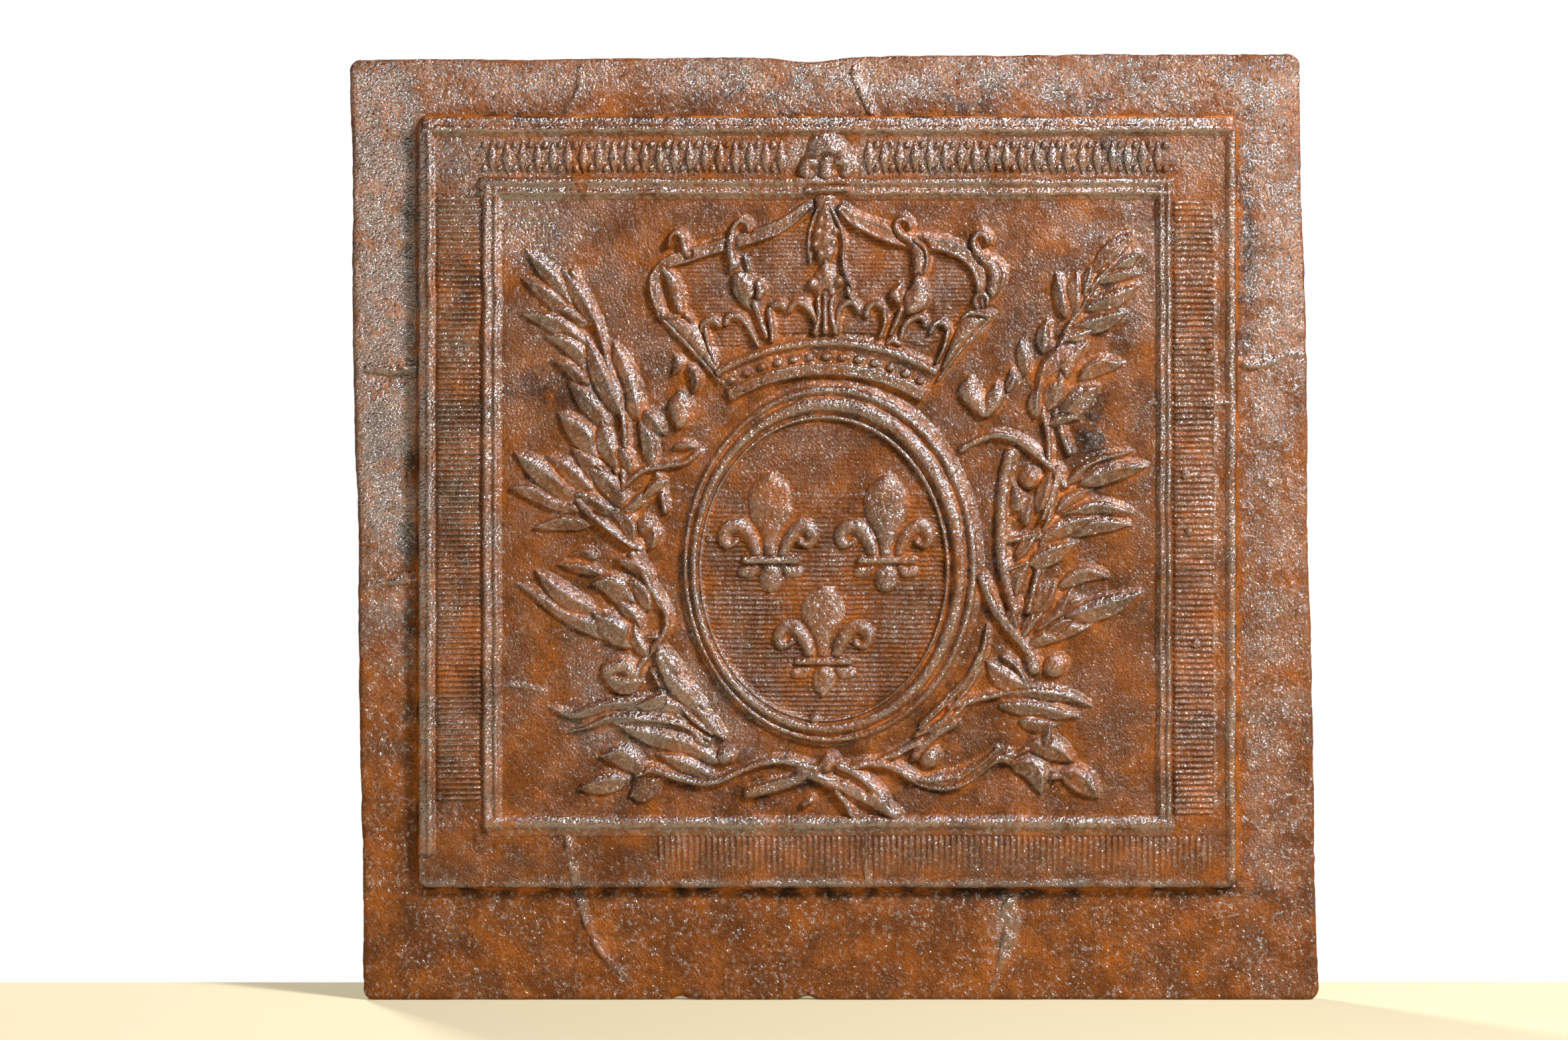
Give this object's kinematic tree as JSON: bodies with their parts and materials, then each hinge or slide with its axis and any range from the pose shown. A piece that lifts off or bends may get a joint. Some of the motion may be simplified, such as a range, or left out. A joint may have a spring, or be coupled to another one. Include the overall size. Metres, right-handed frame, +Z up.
{
  "type": "fireback",
  "caption": "Near-square cast-iron fireback with a raised panel: a crown over an oval shield of fleurs-de-lis between laurel branches, framed by mouldings and reeded bands.",
  "frame": {"origin": "on the floor under the middle of the whole piece, measured across and front to back", "axes": "+Z up, the relief faces -Y, +X to the right as the relief is seen"},
  "size_m": [0.99, 0.039, 0.968],
  "materials": {
    "rusted_plate": "sand-cast iron with waxed brown rust",
    "rusted_panel": "sand-cast iron with waxed brown rust",
    "rusted_relief": "worn sand-cast iron with waxed brown rust"
  },
  "bodies": {
    "root": {"base_plate": "rusted_plate", "raised_panel": "rusted_panel", "outer_moulding_top": "rusted_relief", "outer_moulding_left": "rusted_relief", "outer_moulding_right": "rusted_relief", "inner_moulding_top": "rusted_relief", "inner_moulding_left": "rusted_relief", "inner_moulding_right": "rusted_relief", "inner_moulding_foot": "rusted_relief", "reeded_band_left": "rusted_relief", "reeded_band_right": "rusted_relief", "reeded_band_foot": "rusted_relief", "top_band_studs": "rusted_relief", "nail_heads": "rusted_relief", "oval_frame": "rusted_relief", "shield_ground": "rusted_panel", "fleur_de_lis_left": "rusted_relief", "fleur_de_lis_right": "rusted_relief", "fleur_de_lis_base": "rusted_relief", "crown_circlet": "rusted_relief", "crown_jewels": "rusted_relief", "crown_fleurons": "rusted_relief", "crown_arches": "rusted_relief", "crown_lining": "rusted_panel", "crown_finial": "rusted_relief", "laurel_left_upper": "rusted_relief", "laurel_left_middle": "rusted_relief", "laurel_left_lower": "rusted_relief", "laurel_left_foot": "rusted_relief", "laurel_right_upper": "rusted_relief", "laurel_right_middle": "rusted_relief", "laurel_right_lower": "rusted_relief", "laurel_right_foot": "rusted_relief", "crossed_stems": "rusted_relief", "laurel_berries": "rusted_relief", "laurel_buds": "rusted_relief"}
  },
  "joints": []
}
